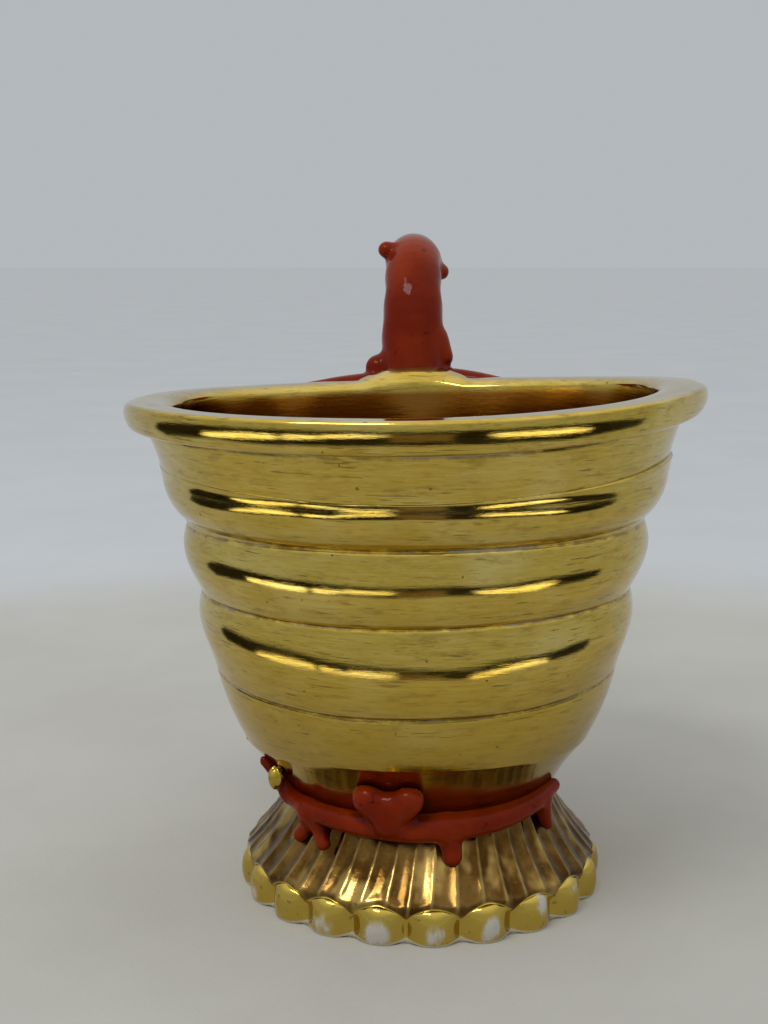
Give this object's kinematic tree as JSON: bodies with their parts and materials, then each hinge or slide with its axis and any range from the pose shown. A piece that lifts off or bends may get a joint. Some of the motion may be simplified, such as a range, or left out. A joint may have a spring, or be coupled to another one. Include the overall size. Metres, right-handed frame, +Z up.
{
  "type": "shaving mug",
  "caption": "Gilded porcelain shaving mug: a stepped, flared bowl on a fluted foot with a scalloped hem, with a high coral-branch handle.",
  "frame": {"origin": "centre of the foot ring, on the table it stands on", "axes": "+Z up, -Y the front with the bud, +Y towards the handle, +X to the right seen from the front"},
  "size_m": [0.1004, 0.1364, 0.1158],
  "materials": {
    "gilding": "burnished gold over glaze, with fine rubbing lines and small worn specks",
    "foot_gilding": "bronzed gilding, rubbed through to grey-white porcelain on the scallops",
    "coral": "glossy iron-red enamel, darker where it is thick"
  },
  "bodies": {
    "root": {"bowl": "gilding", "foot": "foot_gilding", "handle": "coral", "handle_heel": "coral", "handle_knuckle_left": "coral", "handle_knuckle_right": "coral", "handle_stub_left": "coral", "handle_stub_right": "coral", "rim_root_left": "coral", "rim_root_right": "coral", "lower_root_left": "coral", "lower_root_right": "coral", "collar_branch": "coral", "front_bud": "coral", "spur_left": "coral", "spur_middle": "coral", "spur_right": "coral", "gilt_knot": "gilding"}
  },
  "joints": []
}
